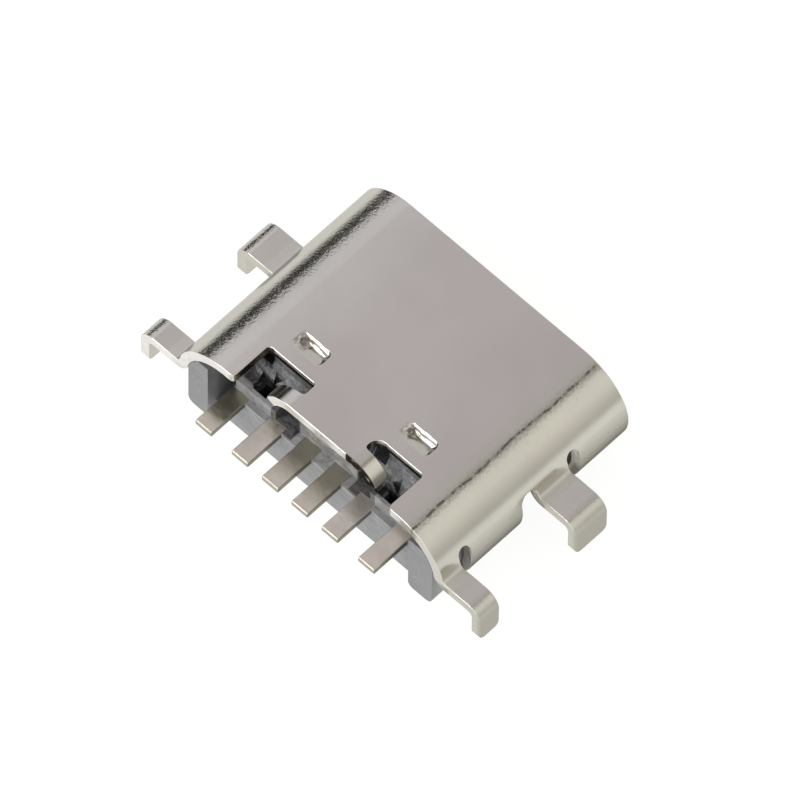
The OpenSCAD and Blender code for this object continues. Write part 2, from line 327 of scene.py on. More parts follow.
def stake(s, y):
    """Depth pressed into the sheet at flat position s, y: ramps from the rear and from +X to a torn wall at the front."""
    if abs(y - STY) > 0.42 or abs(abs(s) - STX) > 0.72 or abs(s) > CX:
        return 0.0
    sg = 1.0 if s > 0 else -1.0
    dx, dy = s - sg * STX, y - STY
    seed = 7.3 if s > 0 else 2.1
    wob = noise.noise(Vector((s * 5 + seed, y * 5, 4.0))) * 0.022
    edge = -(rbox(dx, dy, STW / 2, STL / 2, 0.2) + wob)
    if edge < -0.02:
        return 0.0
    rear = (STL / 2 - dy + wob) * 0.40
    front = pit(dy + STL / 2 + wob, 0.085 + 0.04 * noise.noise(Vector((s * 4, seed, 0.5))))
    side = (STW / 2 - dx) * (0.36 + 0.10 * noise.noise(Vector((s * 3, y * 3, seed))))
    end = (dx + STW / 2 + wob) * 1.0
    d = smin(smin(rear, front, 0.02), smin(side, end, 0.02), 0.02)
    rough = noise.noise(Vector((s * 9 + seed, y * 9, seed))) * 0.020 * smooth(dx, -0.1, 0.15) * smooth(edge, 0.02, 0.1)
    return min(max(0.0, d + rough), STD) * smooth(edge, -0.02, 0.03)


# ---------------------------------------------------------------- triangulate once, use for both faces
pts, edges = [], []
start = []
for l in inner_loops:
    base = len(pts)
    start.append(base)
    pts += l
    edges += [(base + i, base + (i + 1) % len(l)) for i in range(len(l))]
n_rim = len(pts)
key = {}
for i, p in enumerate(pts):
    key.setdefault(round(p[0], 4), []).append(i)
for v in lines:
    ids = [i for k in (round(v, 4), round(v - 1e-4, 4), round(v + 1e-4, 4)) for i in key.get(k, []) if abs(pts[i][0] - v) < 6e-5]
    ids = sorted({i for i in ids if on_sheet(v, pts[i][1])}, key=lambda i: pts[i][1])
    for a, b in zip(ids, ids[1:]):
        if pts[b][1] - pts[a][1] < 0.02:
            continue
        mid = (v, (pts[a][1] + pts[b][1]) / 2)
        if inside(mid, inner_loops):
            ya, yb = pts[a][1], pts[b][1]
            k = max(1, int(round((yb - ya) / 0.6)))
            prev = a
            for j in range(1, k):
                pts.append((v, ya + (yb - ya) * j / k))
                edges.append((prev, len(pts) - 1))
                prev = len(pts) - 1
            edges.append((prev, b))
for sg in (1, -1):
    nx, ny = 56, 36
    for i in range(nx + 1):
        for j in range(ny + 1):
            pts.append((sg * (STX - 0.62 + 1.24 * i / nx), STY - 0.4 + 0.8 * j / ny))
for i in range(-2, 3):
    for j in range(9):
        pts.append((i * 0.5, 0.5 + j * 0.6))
res = delaunay_2d_cdt([Vector(p) for p in pts], edges, [], 0, 1e-6)
vs, fs, orig = res[0], res[2], res[3]
flat = [(v[0], v[1]) for v in vs]
back = {}
for new, olds in enumerate(orig):
    for o in olds:
        back[o] = new
tris = []
for f in fs:
    c = (sum(flat[i][0] for i in f) / len(f), sum(flat[i][1] for i in f) / len(f))
    if inside(c, inner_loops):
        tris.append(tuple(f))

verts, norms, faces = [], [], []


def place(s, y, h, nh=None, out2=None, k=0.0):
    """Adds one vertex. h is below the outer surface, k turns the normal toward the cut edge."""
    (px, pz), n, t = frame_at(s, y)
    verts.append(((px - n[0] * h) * MM, y * MM, (pz - n[1] * h) * MM))
    nn = Vector((n[0], 0, n[1])) * (1.0 if nh is None else nh)
    if out2 is not None:
        m_ = Vector((t[0] * out2[0], out2[1], t[1] * out2[0]))
        nn = nn * math.cos(k) + m_ * math.sin(k)
    norms.append(nn.normalized())
    return len(verts) - 1


def face_layer(h, sign):
    ids = []
    for s, y in flat:
        d = stake(s, y) * (1.0 if sign > 0 else 0.6)
        i = place(s, y, h + d, sign)
        if abs(d) > 1e-6 or abs(stake(s + 0.02, y)) > 1e-6:
            e = 0.008
            gx = (stake(s + e, y) - stake(s - e, y)) / (2 * e)
            gy = (stake(s, y + e) - stake(s, y - e)) / (2 * e)
            norms[i] = (Vector((gx, gy, 1.0)) * sign).normalized()
        ids.append(i)
    for f in tris:
        q = tuple(ids[i] for i in f)
        a = (flat[f[1]][0] - flat[f[0]][0]) * (flat[f[2]][1] - flat[f[0]][1]) - (flat[f[1]][1] - flat[f[0]][1]) * (flat[f[2]][0] - flat[f[0]][0])
        if (a > 0) != (sign > 0):
            q = q[::-1]
        faces.append(q)
    return ids


top = face_layer(0.0, 1.0)
bot = face_layer(T, -1.0)
K = 4
for li, (loop, nrm) in enumerate(rings):
    n = len(loop)
    prev = [top[back[start[li] + i]] for i in range(n)]
    last = [bot[back[start[li] + i]] for i in range(n)]
    levels = []
    for k in range(1, K + 1):
        a = math.pi / 2 * k / K
        levels.append((1 - math.sin(a), 1 - math.cos(a), a, 1.0))
    for k in range(K, 0, -1):
        a = math.pi / 2 * k / K
        levels.append((1 - math.sin(a), 1 - math.cos(a), a, -1.0))
    for ins, dep, a, sgn in levels:
        cur = []
        for p, q in zip(loop, nrm):
            r = edge_radius(*p)
            rr = r if sgn > 0 else r * 0.45        # the burr side is sharper
            s = p[0] - q[0] * q[2] * ins * r
            y = p[1] - q[1] * q[2] * ins * r
            h = dep * r if sgn > 0 else T - dep * rr
            cur.append(place(s, y, h, sgn, (q[0], q[1]), a))
        for i in range(n):
            j = (i + 1) % n
            faces.append((prev[i], cur[i], cur[j], prev[j]))
        prev = cur
    for i in range(n):
        j = (i + 1) % n
        faces.append((prev[i], last[i], last[j], prev[j]))

me = bpy.data.meshes.new("shell_sheet")
me.from_pydata(verts, [], faces)
me.validate(clean_customdata=False)
me.update()
for p in me.polygons:
    p.use_smooth = True
me.normals_split_custom_set_from_vertices([tuple(v) for v in norms])
shell = bpy.data.objects.new("shell_sheet", me)
scene.collection.objects.link(shell)
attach(shell, "root")
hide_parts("shell")


# ---------------------------------------------------------------- materials
def new_mat(name):
    mat = bpy.data.materials.new(name)
    mat.use_nodes = True
    nt = mat.node_tree
    nt.nodes.clear()
    out = nt.nodes.new("ShaderNodeOutputMaterial")
    bs = nt.nodes.new("ShaderNodeBsdfPrincipled")
    nt.links.new(bs.outputs[0], out.inputs[0])
    return mat, nt, bs


def node(nt, kind, **kw):
    n = nt.nodes.new(kind)
    for k, v in kw.items():
        if k in n.inputs:
            n.inputs[k].default_value = v
        else:
            setattr(n, k, v)
    return n


def coords(nt):
    """Position in millimetres, fixed to the object."""
    tc = node(nt, "ShaderNodeTexCoord")
    mp = node(nt, "ShaderNodeVectorMath", operation="SCALE")
    mp.inputs[3].default_value = 1000.0
    nt.links.new(tc.outputs["Object"], mp.inputs[0])
    return mp.outputs[0]


def noise_tex(nt, vec, scale, detail=3.0, rough=0.5, stretch=None):
    if stretch:
        m_ = node(nt, "ShaderNodeVectorMath", operation="MULTIPLY")
        m_.inputs[1].default_value = stretch
        nt.links.new(vec, m_.inputs[0])
        vec = m_.outputs[0]
    n = node(nt, "ShaderNodeTexNoise")
    n.inputs["Scale"].default_value = scale
    n.inputs["Detail"].default_value = detail
    n.inputs["Roughness"].default_value = rough
    nt.links.new(vec, n.inputs["Vector"])
    return n.outputs["Fac"]


def ramp(nt, fac, p0, c0, p1, c1):
    r = node(nt, "ShaderNodeMapRange")
    r.inputs["From Min"].default_value = p0
    r.inputs["From Max"].default_value = p1
    r.inputs["To Min"].default_value = c0
    r.inputs["To Max"].default_value = c1
    nt.links.new(fac, r.inputs["Value"])
    return r.outputs[0]


def mixc(nt, fac, a, b):
    m_ = node(nt, "ShaderNodeMix", data_type="RGBA")
    m_.inputs[6].default_value = (*a, 1) if not hasattr(a, "links") else (0, 0, 0, 1)
    m_.inputs[7].default_value = (*b, 1) if not hasattr(b, "links") else (0, 0, 0, 1)
    if hasattr(a, "links"):
        nt.links.new(a, m_.inputs[6])
    if hasattr(b, "links"):
        nt.links.new(b, m_.inputs[7])
    nt.links.new(fac, m_.inputs[0])
    return m_.outputs[2]


def mathn(nt, op, a, b=None):
    m_ = node(nt, "ShaderNodeMath", operation=op)
    for i, v in enumerate((a, b)):
        if v is None:
            continue
        if hasattr(v, "links"):
            nt.links.new(v, m_.inputs[i])
        else:
            m_.inputs[i].default_value = v
    return m_.outputs[0]


def bump(nt, bs, height, strength, dist):
    b = node(nt, "ShaderNodeBump")
    b.inputs["Strength"].default_value = strength
    b.inputs["Distance"].default_value = dist
    nt.links.new(height, b.inputs["Height"])
    nt.links.new(b.outputs[0], bs.inputs["Normal"])
    return b


def absdiff(nt, v, c):
    return mathn(nt, "ABSOLUTE", mathn(nt, "SUBTRACT", v, c))


def nickel(name="nickel_plate", stains_and_shade=True):
    """Satin nickel on drawn sheet: coarse grain where it is bent, darker shear faces under a painted highlight, fine
    scuffs; stains_and_shade adds wear and painted shade and highlights by position.
    """
    mat, nt, bs = new_mat(name)
    p = coords(nt)
    bs.inputs["Metallic"].default_value = 1.0
    sep = node(nt, "ShaderNodeSeparateXYZ")
    nt.links.new(p, sep.inputs[0])
    x, y, z = sep.outputs
    ax = mathn(nt, "ABSOLUTE", x)
    blot = noise_tex(nt, p, 0.45, 2.0, 0.5)
    fine = noise_tex(nt, p, 7.0, 4.0, 0.6)
    grain = noise_tex(nt, p, 26.0, 3.0, 0.6)
    # the long bends and the bends of the legs
    long_b = mathn(nt, "MULTIPLY", ramp(nt, absdiff(nt, ax, 3.48), 0.12, 1.0, 0.55, 0.0), ramp(nt, z, 0.3, 0.0, 0.9, 1.0))
    leg_b = mathn(nt, "MULTIPLY", ramp(nt, ax, 5.2, 0.0, 5.42, 1.0), ramp(nt, z, -0.5, 0.0, -0.2, 1.0))
    band = mathn(nt, "MAXIMUM", long_b, leg_b)
    col = mixc(nt, ramp(nt, blot, 0.35, 0.0, 0.65, 1.0), (0.555, 0.54, 0.475), (0.585, 0.57, 0.50))
    col = mixc(nt, ramp(nt, fine, 0.62, 0.0, 0.8, 0.3), col, (0.44, 0.42, 0.35))
    rough = mathn(nt, "ADD", ramp(nt, fine, 0.3, 0.13, 0.7, 0.2), mathn(nt, "MULTIPLY", blot, 0.04))
    geo = node(nt, "ShaderNodeNewGeometry")
    gs = node(nt, "ShaderNodeSeparateXYZ")
    nt.links.new(geo.outputs["True Normal"], gs.inputs[0])
    # cut faces turned toward +Y, weighted by position: the mask of a painted highlight
    sheared_highlight = mathn(nt, "MULTIPLY", ramp(nt, gs.outputs[1], 0.55, 0.0, 0.8, 1.0), mathn(nt, "MAXIMUM", ramp(nt, y, 5.0, 0.0, 5.1, 1.0), ramp(nt, ax, 4.6, 0.0, 4.8, 1.0)))
    sheared_highlight = mathn(nt, "MULTIPLY", sheared_highlight, ramp(nt, x, -4.6, 0.2, -4.3, 1.0))
    sheared_highlight = mathn(nt, "MULTIPLY", sheared_highlight, ramp(nt, x, -3.1, 0.35, -2.4, 1.0))
    sheared_highlight = mathn(nt, "MULTIPLY", sheared_highlight, ramp(nt, noise_tex(nt, p, 9.0, 2.0, 0.6), 0.38, 0.78, 0.52, 1.0))
    # the painted highlight on the cut faces fades at the left notch's corner and at the plate's left rear corner
    sheared_highlight = mathn(nt, "MULTIPLY", sheared_highlight, mathn(nt, "MAXIMUM", ramp(nt, x, 2.38, 1.0, 2.48, 0.1), ramp(nt, y, 5.6, 0.0, 5.62, 1.0)))
    sheared_highlight = mathn(nt, "MULTIPLY", sheared_highlight, ramp(nt, absdiff(nt, x, 2.6), 0.1, 0.45, 0.2, 1.0))
    root = mathn(nt, "MULTIPLY", ramp(nt, absdiff(nt, ax, 4.62), 0.17, 1.0, 0.24, 0.0), ramp(nt, z, 0.1, 0.0, 0.16, 0.3))
    rough = mathn(nt, "ADD", rough, mathn(nt, "MULTIPLY", root, ramp(nt, x, -1.0, 1.35, 1.0, 1.0)))
    rough = mathn(nt, "ADD", rough, mathn(nt, "MULTIPLY", ramp(nt, ax, 4.55, 0.0, 4.75, 0.12), mathn(nt, "MAXIMUM", ramp(nt, x, -1.0, 1.0, 1.0, 0.0), ramp(nt, ax, 5.2, 1.0, 5.3, 0.0))))
    if stains_and_shade:
        # painted shade: darker lower flanks and inside faces
        low_flank_shade = mathn(nt, "MULTIPLY", ramp(nt, z, 0.62, 0.0, 0.2, 1.0), ramp(nt, ax, 4.62, 1.0, 4.72, 0.0))
        off_leg = mathn(nt, "MULTIPLY", ramp(nt, absdiff(nt, y, LEG_F + LEG_FW / 2), LEG_FW / 2, 0.0, LEG_FW / 2 + 0.22, 1.0),
                        ramp(nt, y, LEG_REAR - 0.22, 1.0, LEG_REAR, 0.0))
        low_flank_shade = mathn(nt, "MULTIPLY", low_flank_shade, mathn(nt, "MAXIMUM", off_leg, ramp(nt, z, 0.0, 1.0, 0.1, 0.0)))
        col = mixc(nt, low_flank_shade, col, (0.33, 0.32, 0.275))
        # painted shade: the lower half of the body is darkened almost to black
        col = mixc(nt, mathn(nt, "MULTIPLY", ramp(nt, z, 0.04, 0.0, -0.28, 0.68), ramp(nt, ax, 4.62, 1.0, 4.72, 0.0)), col, (0.08, 0.075, 0.065))
        # painted shade on the outer faces of the right legs
        col = mixc(nt, mathn(nt, "MULTIPLY", ramp(nt, x, -5.74, 0.6, -5.6, 0.0), ramp(nt, z, -0.05, 1.0, 0.05, 0.0)), col, (0.30, 0.285, 0.25))
        ex = mathn(nt, "MAXIMUM", mathn(nt, "SUBTRACT", ax, 2.89), 0.0)
        rad = mathn(nt, "SQRT", mathn(nt, "ADD", mathn(nt, "MULTIPLY", ex, ex), mathn(nt, "MULTIPLY", z, z)))
        inner_shade = mathn(nt, "MULTIPLY", ramp(nt, rad, 1.36, 1.0, 1.42, 0.0), ramp(nt, y, 5.3, 1.0, 5.4, 0.0))
        # painted shade inside the shell
        col = mixc(nt, inner_shade, col, (0.27, 0.26, 0.235))
        # thin broken dark line along the right bend: scuffs, with a painted dark reflection
        wander = mathn(nt, "MULTIPLY", mathn(nt, "SUBTRACT", noise_tex(nt, p, 1.6, 3.0, 0.6, (0.2, 1.0, 0.2)), 0.5), 0.16)
        xd = absdiff(nt, mathn(nt, "ADD", x, wander), -3.42)
        scuff_and_reflection = mathn(nt, "MULTIPLY", ramp(nt, xd, 0.014, 0.85, 0.045, 0.0), mathn(nt, "MULTIPLY", ramp(nt, z, 1.2, 0.0, 1.3, 1.0), ramp(nt, y, 0.06, 0.0, 0.2, 1.0)))
        scuff_and_reflection = mathn(nt, "MULTIPLY", scuff_and_reflection, ramp(nt, noise_tex(nt, p, 5.5, 3.0, 0.65, (0.3, 1.0, 0.3)), 0.42, 0.2, 0.54, 1.0))
        col = mixc(nt, scuff_and_reflection, col, (0.13, 0.12, 0.095))
        # worn patch at the +X end of each stake
        for px in (STX + 0.2, -STX + 0.2):
            d2 = mathn(nt, "ADD", absdiff(nt, x, px), absdiff(nt, y, STY - 0.06))
            spot = mathn(nt, "MULTIPLY", ramp(nt, d2, 0.2, 0.8, 0.3, 0.0), ramp(nt, z, 1.566, 0.0, 1.545, 1.0))
            spot = mathn(nt, "MULTIPLY", spot, ramp(nt, noise_tex(nt, p, 9.0, 2.0, 0.5), 0.4, 0.3, 0.56, 1.0))
            col = mixc(nt, spot, col, (0.15, 0.125, 0.095))
    # below the burnished lip of a sheared notch edge the fracture is dull and brown
    lip = mathn(nt, "MAXIMUM", ramp(nt, z, 1.40, 0.0, 1.47, 1.0), ramp(nt, ax, 3.2, 0.0, 3.3, 1.0))
    col = mixc(nt, mathn(nt, "MULTIPLY", ramp(nt, y, 5.6, 1.0, 5.62, 0.0), mathn(nt, "MULTIPLY", sheared_highlight, mathn(nt, "SUBTRACT", 1.0, lip))), col, (0.16, 0.14, 0.115))
    sheared_highlight = mathn(nt, "MULTIPLY", sheared_highlight, mathn(nt, "MAXIMUM", lip, ramp(nt, y, 5.6, 0.0, 5.62, 1.0)))
    if stains_and_shade:
        rough = mathn(nt, "ADD", rough, mathn(nt, "MULTIPLY", mathn(nt, "MULTIPLY", ramp(nt, z, 0.04, 0.0, -0.28, 0.3), ramp(nt, ax, 4.62, 1.0, 4.72, 0.0)), ramp(nt, x, 0.0, 1.0, 1.0, 0.0)))
    # painted highlight: these cut faces are turned near white
    col = mixc(nt, mathn(nt, "MULTIPLY", sheared_highlight, 0.85), col, (0.92, 0.91, 0.89))
    # painted highlight: the roots of the leg bends are lightened
    col = mixc(nt, mathn(nt, "MULTIPLY", root, 1.1), col, (0.80, 0.79, 0.74))
    rough = mathn(nt, "ADD", rough, mathn(nt, "MULTIPLY", sheared_highlight, 0.2))
    if stains_and_shade:
        # painted shade on the outer wall of the left notch, a painted highlight on the +X-facing faces of the left end,
        # dull low ends of the wings
        notch_wall_shade = mathn(nt, "MULTIPLY", ramp(nt, gs.outputs[0], -0.9, 0.75, -0.7, 0.0), mathn(nt, "MULTIPLY", ramp(nt, absdiff(nt, x, 2.6), 0.06, 1.0, 0.1, 0.0), ramp(nt, y, 5.2, 0.0, 5.25, 1.0)))
        col = mixc(nt, notch_wall_shade, col, (0.13, 0.115, 0.09))
        col = mixc(nt, mathn(nt, "MULTIPLY", ramp(nt, gs.outputs[0], 0.45, 0.0, 0.75, 0.8), ramp(nt, x, 2.9, 0.0, 3.2, 1.0)), col, (0.60, 0.592, 0.555))
        tip = mathn(nt, "MULTIPLY", ramp(nt, z, 1.2, 1.0, 1.4, 0.0), mathn(nt, "MULTIPLY", ramp(nt, ax, 1.95, 1.0, 2.0, 0.0), ramp(nt, y, 5.55, 0.0, 5.6, 1.0)))
        tip = mathn(nt, "MULTIPLY", tip, ramp(nt, ax, 1.05, 0.0, 1.2, 1.0))
        rough = mathn(nt, "ADD", rough, mathn(nt, "MULTIPLY", tip, 0.28))
        # the brown shear face under the right wing of the centre tab
        cut = mathn(nt, "MULTIPLY", ramp(nt, y, 6.105, 0.0, 6.125, 1.0), ramp(nt, absdiff(nt, x, -1.36), 0.5, 1.0, 0.54, 0.0))
        cut = mathn(nt, "MULTIPLY", cut, ramp(nt, z, 0.6, 0.0, 0.62, 1.0))
        cut = mathn(nt, "MULTIPLY", cut, ramp(nt, noise_tex(nt, p, 5.0, 2.0, 0.5), 0.38, 0.7, 0.46, 1.0))
        col = mixc(nt, cut, col, (0.03, 0.022, 0.017))
        rough = mathn(nt, "ADD", rough, mathn(nt, "MULTIPLY", cut, 0.35))
    nt.links.new(col, bs.inputs["Base Color"])
    nt.links.new(rough, bs.inputs["Roughness"])
    bs.inputs["Specular Tint"].default_value = (0.76, 0.75, 0.71, 1)
    speck = noise_tex(nt, p, 19.0, 2.0, 0.6, (0.5, 1.0, 0.5))
    wavy = noise_tex(nt, p, 4.0, 2.0, 0.5)
    h1 = mathn(nt, "ADD", mathn(nt, "MULTIPLY", mathn(nt, "SUBTRACT", speck, 0.5), 0.0125),
               mathn(nt, "MULTIPLY", mathn(nt, "SUBTRACT", wavy, 0.5), 0.006))
    right_calm = ramp(nt, x, -3.0, 0.5, -2.0, 1.0)
    h1 = mathn(nt, "MULTIPLY", mathn(nt, "MULTIPLY", h1, mathn(nt, "MULTIPLY", band, right_calm)), ramp(nt, ax, 5.2, 1.0, 5.4, 1.35))
    h2 = mathn(nt, "MULTIPLY", mathn(nt, "SUBTRACT", grain, 0.5), 0.0010)
    h3 = mathn(nt, "MULTIPLY", mathn(nt, "SUBTRACT", blot, 0.5), 0.012)
    h = mathn(nt, "ADD", mathn(nt, "ADD", h1, h2), h3)
    bump(nt, bs, h, 1.0, 0.001)
    return mat


def tin():
    mat, nt, bs = new_mat("tin_and_gold")
    p = coords(nt)
    bs.inputs["Metallic"].default_value = 1.0
    sep = node(nt, "ShaderNodeSeparateXYZ")
    nt.links.new(p, sep.inputs[0])
    blot = noise_tex(nt, p, 2.2, 3.0, 0.55)
    fine = noise_tex(nt, p, 18.0, 4.0, 0.6)
    tinc = mixc(nt, ramp(nt, blot, 0.35, 0.0, 0.68, 1.0), (0.62, 0.585, 0.485), (0.69, 0.655, 0.55))
    edge = mathn(nt, "ADD", sep.outputs[1], mathn(nt, "MULTIPLY", blot, 0.25))
    ax = mathn(nt, "ABSOLUTE", sep.outputs[0])
    toned = mathn(nt, "MULTIPLY", ramp(nt, edge, 7.0, 0.95, 7.18, 0.0), ramp(nt, sep.outputs[0], 2.2, 0.0, 2.5, 1.0))
    toned = mathn(nt, "MULTIPLY", toned, ramp(nt, sep.outputs[1], 6.4, 0.6, 6.85, 1.0))
    toned = mathn(nt, "MAXIMUM", toned, mathn(nt, "MULTIPLY", ramp(nt, edge, 6.8, 0.58, 7.3, 0.1), ramp(nt, ax, 0.95, 1.0, 1.1, 0.0)))
    tinc = mixc(nt, toned, tinc, (0.30, 0.285, 0.215))
    clean = mathn(nt, "MULTIPLY", ramp(nt, absdiff(nt, sep.outputs[0], -1.52), 0.3, 0.7, 0.4, 0.0), ramp(nt, edge, 6.9, 1.0, 7.2, 0.0))
    tinc = mixc(nt, clean, tinc, (0.88, 0.84, 0.76))
    geo = node(nt, "ShaderNodeNewGeometry")
    gs = node(nt, "ShaderNodeSeparateXYZ")
    nt.links.new(geo.outputs["True Normal"], gs.inputs[0])
    # painted shade: the tails' side faces are darkened
    flank_shade = ramp(nt, mathn(nt, "ABSOLUTE", gs.outputs[0]), 0.75, 0.0, 0.95, 0.9)
    tinc = mixc(nt, flank_shade, tinc, (0.13, 0.115, 0.085))
    # painted shade: the tails' end faces are darkened
    tinc = mixc(nt, ramp(nt, gs.outputs[1], 0.12, 0.0, 0.4, 0.75), tinc, (0.30, 0.28, 0.235))
    gold = ramp(nt, sep.outputs[1], 4.6, 1.0, 4.75, 0.0)
    col = mixc(nt, gold, tinc, (0.86, 0.60, 0.24))
    nt.links.new(col, bs.inputs["Base Color"])
    nt.links.new(ramp(nt, fine, 0.3, 0.30, 0.7, 0.37), bs.inputs["Roughness"])
    h = mathn(nt, "ADD", mathn(nt, "MULTIPLY", mathn(nt, "SUBTRACT", fine, 0.5), 0.0005),
              mathn(nt, "MULTIPLY", mathn(nt, "SUBTRACT", blot, 0.5), 0.02))
    bump(nt, bs, h, 1.0, 0.001)
    return mat


def boxmask(nt, xyz, bounds, soft=0.03):
    """1 inside the box (x0, x1, y0, y1, z0, z1), fading out over soft."""
    f = None
    for v, lo, hi in zip(xyz, bounds[0::2], bounds[1::2]):
        g_ = ramp(nt, absdiff(nt, v, (lo + hi) / 2), (hi - lo) / 2, 1.0, (hi - lo) / 2 + soft, 0.0)
        f = g_ if f is None else mathn(nt, "MULTIPLY", f, g_)
    return f


def plastic(name, dark, light, rough0, rough1, rear=False):
    """Glass-filled moulding. rear adds the torn, chipped look round the notches and painted shade in its pockets."""
    mat, nt, bs = new_mat(name)
    p = coords(nt)
    blot = noise_tex(nt, p, 1.1, 3.0, 0.55)
    fine = noise_tex(nt, p, 22.0, 5.0, 0.65)
    fib = noise_tex(nt, p, 10.0, 3.0, 0.5, (1.0, 0.25, 1.0))
    col = mixc(nt, ramp(nt, blot, 0.35, 0.0, 0.65, 1.0), dark, light)
    col = mixc(nt, ramp(nt, fib, 0.6, 0.0, 0.75, 0.4), col, tuple(min(1, c * 1.5) for c in light))
    h = mathn(nt, "ADD", mathn(nt, "MULTIPLY", mathn(nt, "SUBTRACT", fine, 0.5), 0.0022), mathn(nt, "MULTIPLY", mathn(nt, "SUBTRACT", fib, 0.5), 0.003))
    if rear:
        sep = node(nt, "ShaderNodeSeparateXYZ")
        nt.links.new(p, sep.inputs[0])
        xyz = sep.outputs
        ax = mathn(nt, "ABSOLUTE", xyz[0])
        # chipped facets inside the notches and round the middle tails
        warp = node(nt, "ShaderNodeTexNoise")
        warp.inputs["Scale"].default_value = 3.0
        nt.links.new(p, warp.inputs["Vector"])
        wv = node(nt, "ShaderNodeVectorMath", operation="MULTIPLY_ADD")
        nt.links.new(warp.outputs["Color"], wv.inputs[0])
        wv.inputs[1].default_value = (0.5, 0.5, 0.5)
        nt.links.new(p, wv.inputs[2])
        vo = node(nt, "ShaderNodeTexVoronoi")
        vo.inputs["Scale"].default_value = 4.2
        nt.links.new(wv.outputs[0], vo.inputs["Vector"])
        vs_ = node(nt, "ShaderNodeSeparateXYZ")
        nt.links.new(vo.outputs["Color"], vs_.inputs[0])
        ve = node(nt, "ShaderNodeTexVoronoi", feature="DISTANCE_TO_EDGE")
        ve.inputs["Scale"].default_value = 4.2
        nt.links.new(wv.outputs[0], ve.inputs["Vector"])
        zone = mathn(nt, "MULTIPLY", ramp(nt, xyz[1], 4.85, 0.0, 5.0, 1.0), ramp(nt, xyz[1], 5.8, 1.0, 6.1, 0.55))
        zone = mathn(nt, "MULTIPLY", zone, ramp(nt, ax, 3.0, 1.0, 3.3, 0.25))
        zone = mathn(nt, "MULTIPLY", zone, ramp(nt, xyz[2], -0.6, 0.4, 0.1, 1.0))
        # the torn top behind the notches is paler than the moulded faces
        pale = mathn(nt, "MULTIPLY", ramp(nt, xyz[1], 5.6, 0.0, 5.85, 0.85), mathn(nt, "MULTIPLY", ramp(nt, xyz[2], 0.0, 0.0, 0.1, 1.0), ramp(nt, ax, 3.2, 1.0, 3.4, 0.0)))
        pale = mathn(nt, "MULTIPLY", pale, ramp(nt, ax, 1.5, 1.0, 2.1, 0.5))
        col = mixc(nt, pale, col, (0.36, 0.355, 0.345))
        col = mixc(nt, mathn(nt, "MULTIPLY", zone, ramp(nt, vs_.outputs[0], 0.2, 0.55, 0.75, 0.0)), col, tuple(c * 0.48 for c in dark))
        col = mixc(nt, mathn(nt, "MULTIPLY", zone, ramp(nt, ve.outputs["Distance"], 0.02, 0.3, 0.07, 0.0)), col, (0.42, 0.425, 0.43))
        h = mathn(nt, "ADD", h, mathn(nt, "MULTIPLY", mathn(nt, "MULTIPLY", vo.outputs["Distance"], zone), 0.05))
        col = mixc(nt, ramp(nt, xyz[1], 6.3, 0.0, 6.4, 0.22), col, (0.06, 0.061, 0.063))
        # painted shade in the pockets, the undercut corners, under the curled sides and beside the left ground tail
        for bounds, amount in (((1.93, 2.6, 5.4, 6.0, -1.2, 0.5), 0.8), ((1.88, 2.28, 5.3, 5.56, 0.0, 0.6), 0.8),
                               ((-2.02, -1.6, 5.54, 6.0, -1.2, 0.5), 0.3), ((-2.12, -1.77, 5.32, 5.63, 0.0, 0.6), 0.72),
                               ((2.4, 2.95, 4.8, 5.34, 0.5, 1.35), 0.7), ((-1.3, -0.95, 4.8, 5.3, 0.5, 1.35), 0.35),
                               ((2.2, 2.95, 4.8, 5.9, 0.2, 1.35), 0.3), ((1.0, 2.95, 4.8, 5.22, 0.2, 1.35), 0.3),
                               ((-2.6, -0.95, 4.8, 5.9, 0.2, 1.35), 0.1),
                               ((0.98, 1.74, 5.44, 6.16, 0.1, 0.86), 0.75), ((-1.74, -0.98, 5.44, 6.16, 0.1, 0.86), 0.75),
                               ((2.9, 3.5, 5.4, 6.1, -0.9, 0.6), 0.2)):
            col = mixc(nt, mathn(nt, "MULTIPLY", boxmask(nt, xyz, bounds), amount), col, (0.016, 0.015, 0.014))
    nt.links.new(col, bs.inputs["Base Color"])
    nt.links.new(ramp(nt, fine, 0.3, rough0, 0.7, rough1), bs.inputs["Roughness"])
    bs.inputs["Specular IOR Level"].default_value = 0.6
    bump(nt, bs, h, 1.0, 0.001)
    return mat


M_NICKEL = nickel()
M_TIN = tin()
M_HOUSE = plastic("grey_moulding", (0.185, 0.187, 0.192), (0.225, 0.228, 0.235), 0.28, 0.42, True)
M_TONGUE = plastic("dark_moulding", (0.03, 0.031, 0.034), (0.042, 0.043, 0.047), 0.32, 0.5)
M_PLATE = nickel("stainless_plate", False)
me.materials.append(M_NICKEL)


def dress(name, mat, width, angle=30):
    """Carried-over CAD node: welded, flat faces merged, edges softened, one material."""
    o = NODES[name]
    o.data.materials.clear()
    o.data.materials.append(mat)
    w = o.modifiers.new("weld", "WELD")
    w.merge_threshold = 2e-7
    d = o.modifiers.new("flat", "DECIMATE")
    d.decimate_type = "DISSOLVE"
    d.angle_limit = math.radians(0.6)
    b = o.modifiers.new("bevel", "BEVEL")
    b.width = width * MM
    b.segments = 3
    b.limit_method = "ANGLE"
    b.angle_limit = math.radians(angle)
    b.harden_normals = True
    b.miter_outer = "MITER_ARC"
    b.use_clamp_overlap = True


dress("housing", M_HOUSE, 0.025)
dress("tongue", M_TONGUE, 0.03)
dress("mid_plate", M_PLATE, 0.02)
for nm in NODES:
    if nm.startswith("pin_"):
        dress(nm, M_TIN, 0.022, 20)

